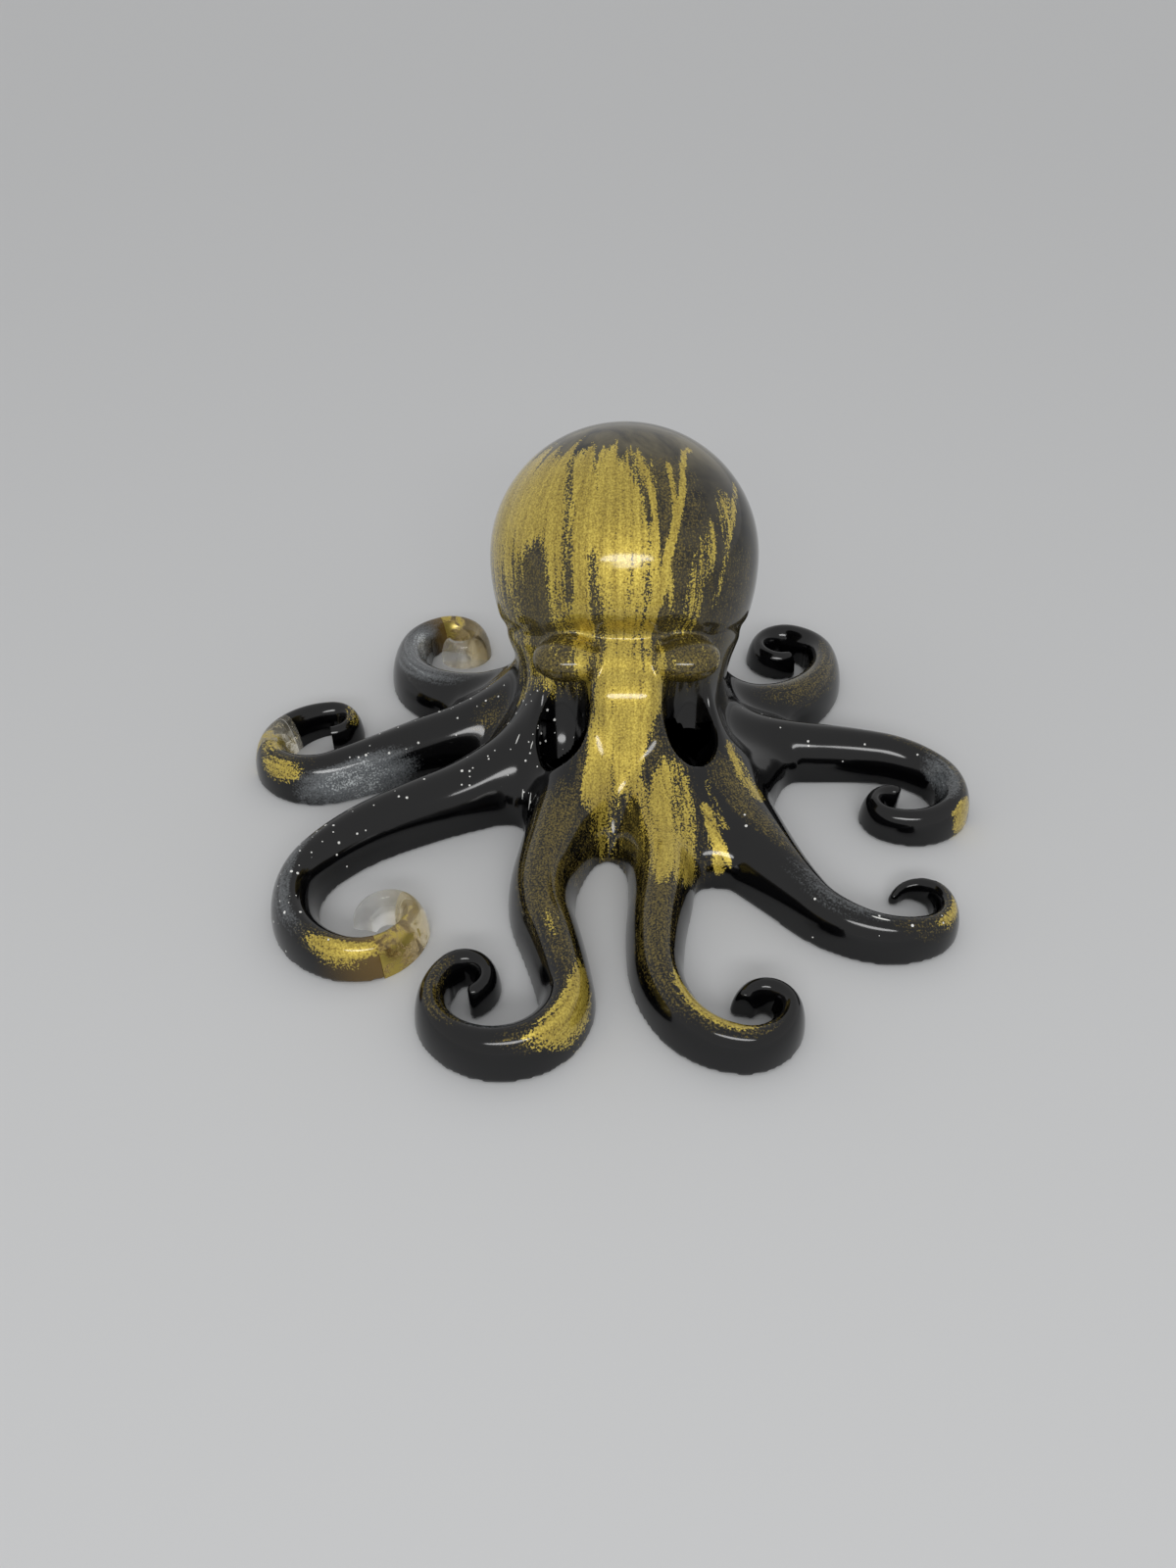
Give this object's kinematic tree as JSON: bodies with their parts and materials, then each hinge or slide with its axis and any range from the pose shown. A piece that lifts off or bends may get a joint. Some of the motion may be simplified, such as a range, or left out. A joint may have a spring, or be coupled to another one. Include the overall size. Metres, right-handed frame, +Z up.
{
  "type": "octopus ornament",
  "caption": "Cast-resin octopus figurine: egg-shaped mantle, brows over hollow eyes, and arms that run out flat on the table and curl at their ends",
  "frame": {"origin": "middle of the head's flat underside, where the body stands on the table", "axes": "+Z up, the face looks along -Y, +X is the viewer's right when the face is seen from the front"},
  "size_m": [0.1212, 0.1074, 0.0539],
  "materials": {
    "black_resin": "gloss",
    "gold_veined_resin": "gloss",
    "amber_resin": "gloss",
    "clear_resin": "gloss"
  },
  "bodies": {
    "root": {"mantle": "gold_veined_resin", "head": "gold_veined_resin", "left_brow": "gold_veined_resin", "right_brow": "gold_veined_resin", "front_left_arm": "black_resin", "front_right_arm": "black_resin", "fore_left_arm": "black_resin", "fore_left_amber_band": "amber_resin", "fore_left_clear_tip": "clear_resin", "fore_right_arm": "black_resin", "middle_left_arm": "black_resin", "middle_left_clear_bend": "clear_resin", "middle_left_curl": "black_resin", "middle_right_arm": "black_resin", "rear_left_arm": "black_resin", "rear_left_amber_band": "amber_resin", "rear_left_clear_tip": "clear_resin", "rear_right_arm": "black_resin"}
  },
  "joints": []
}
